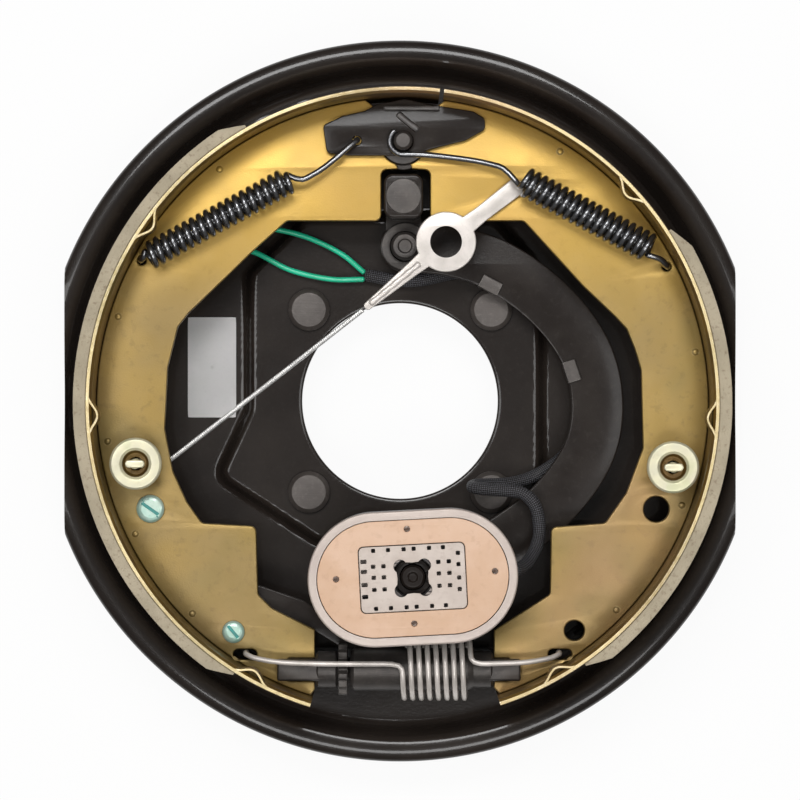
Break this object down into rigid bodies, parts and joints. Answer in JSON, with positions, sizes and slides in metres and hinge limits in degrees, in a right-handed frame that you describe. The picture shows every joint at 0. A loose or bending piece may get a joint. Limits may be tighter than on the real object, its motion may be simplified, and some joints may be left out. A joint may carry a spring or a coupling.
{
  "type": "electric trailer brake assembly",
  "caption": "Electromagnet drum brake for a trailer: round backing plate, lined shoes, curved actuating arm, retractor springs and a self-adjusting star-wheel strut.",
  "frame": {"origin": "on the wheel axis, in the plane of the mounting studs' tips", "axes": "+Z along the wheel axis from the axle flange towards the drum, +Y up on the vehicle, towards the anchor post, +X towards the primary shoe"},
  "size_m": [0.2698, 0.2904, 0.09],
  "materials": {
    "black paint": "satin black paint on pressed steel",
    "dark steel": "dull, phosphated",
    "spring steel": "plain spring steel",
    "black spring": "gloss black coat",
    "bright zinc": "bright zinc plate",
    "yellow zinc": "yellow chromated zinc plate, uneven",
    "green zinc": "pale green chromated zinc plate",
    "lining": "pressed friction lining, matt",
    "rubber": "black",
    "braided sleeve": "black braid",
    "label": "blank, semi-matt",
    "copper face": "thin copper-coloured coat, matt",
    "cream core": "cream, matt",
    "magnet steel": "ground",
    "green lead": "semi-gloss insulation"
  },
  "bodies": {
    "plate": {"backing_plate": "black paint", "mounting_stud_1": "dark steel", "mounting_stud_2": "dark steel", "mounting_stud_3": "dark steel", "mounting_stud_4": "dark steel", "anchor_post": "dark steel", "anchor_plate": "black paint", "lever_pivot_stud": "dark steel", "lever_pivot_clip": "spring steel", "wire_grommet": "rubber", "slot_plug_left": "rubber", "slot_plug_right": "rubber", "label": "label", "hold_down_pin_left": "yellow zinc", "hold_down_pin_right": "yellow zinc", "hold_down_cup_left": "yellow zinc", "hold_down_cup_right": "yellow zinc", "hold_down_inner_cup_left": "yellow zinc", "hold_down_inner_cup_right": "yellow zinc", "hold_down_spring_left": "spring steel", "hold_down_spring_right": "spring steel", "adjuster_socket": "dark steel", "adjuster_nut": "dark steel", "adjuster_spring": "bright zinc", "green_lead_1": "green lead", "green_lead_2": "green lead"},
    "lever": {"actuating_arm": "black paint", "wire_clip_1": "dark steel", "wire_clip_2": "dark steel", "magnet_post": "dark steel", "magnet_clip": "spring steel", "magnet_spring": "spring steel", "lead_sleeve": "braided sleeve"},
    "magnet": {"magnet_case": "magnet steel", "magnet_face": "copper face", "magnet_core_face": "cream core"},
    "secondary_shoe": {"secondary_shoe_web": "yellow zinc", "secondary_shoe_table": "yellow zinc", "secondary_shoe_lining": "lining", "cable_guide": "bright zinc", "cable_guide_rivet": "green zinc", "pawl_rivet": "green zinc", "retractor_spring_left": "black spring"},
    "primary_shoe": {"primary_shoe_web": "yellow zinc", "primary_shoe_table": "yellow zinc", "primary_shoe_lining": "lining", "cable_link": "bright zinc", "adjuster_cable": "bright zinc", "retractor_spring_right": "black spring"},
    "pawl": {"adjuster_pawl": "black paint"},
    "star_wheel": {"star_wheel_screw": "dark steel"}
  },
  "joints": [
    {"name": "lever_swing", "type": "hinge", "parent": "plate", "child": "lever", "pos_m": [0.002, 0.0618, 0.0385], "axis": [0, 0, 1], "range_deg": [-5, 2], "stiffness_Nm_per_rad": 1.5, "deforming": ["green_lead_1", "green_lead_2", "lead_sleeve"]},
    {"name": "magnet_float", "type": "slide", "parent": "lever", "child": "magnet", "axis": [0, 0, 1], "range_m": [-0.004, 0], "stiffness_N_per_m": 1500, "springref_m": 0.006, "deforming": ["magnet_spring", "lead_sleeve"]},
    {"name": "secondary_shoe_pivot", "type": "hinge", "parent": "plate", "child": "secondary_shoe", "pos_m": [-0.0445, -0.1062, 0.0585], "axis": [0, 0, 1], "range_deg": [0, 0.6], "stiffness_Nm_per_rad": 60, "springref_deg": -1.15, "deforming": ["retractor_spring_left", "adjuster_spring", "adjuster_cable"]},
    {"name": "primary_shoe_pivot", "type": "hinge", "parent": "plate", "child": "primary_shoe", "pos_m": [0.0436, -0.1062, 0.0585], "axis": [0, 0, -1], "range_deg": [0, 0.6], "stiffness_Nm_per_rad": 60, "springref_deg": -1.15, "deforming": ["retractor_spring_right", "adjuster_spring", "adjuster_cable"]},
    {"name": "pawl_pivot", "type": "hinge", "parent": "secondary_shoe", "child": "pawl", "pos_m": [-0.0659, -0.0913, 0.0514], "axis": [0, 0, 1], "range_deg": [0, 8]},
    {"name": "star_wheel_turn", "type": "hinge", "parent": "plate", "child": "star_wheel", "pos_m": [0, -0.1062, 0.0585], "axis": [1, 0, 0], "continuous": true}
  ],
  "couplings": [
    {"joint": "pawl_pivot", "follows": "secondary_shoe_pivot", "ratio": 13}
  ]
}
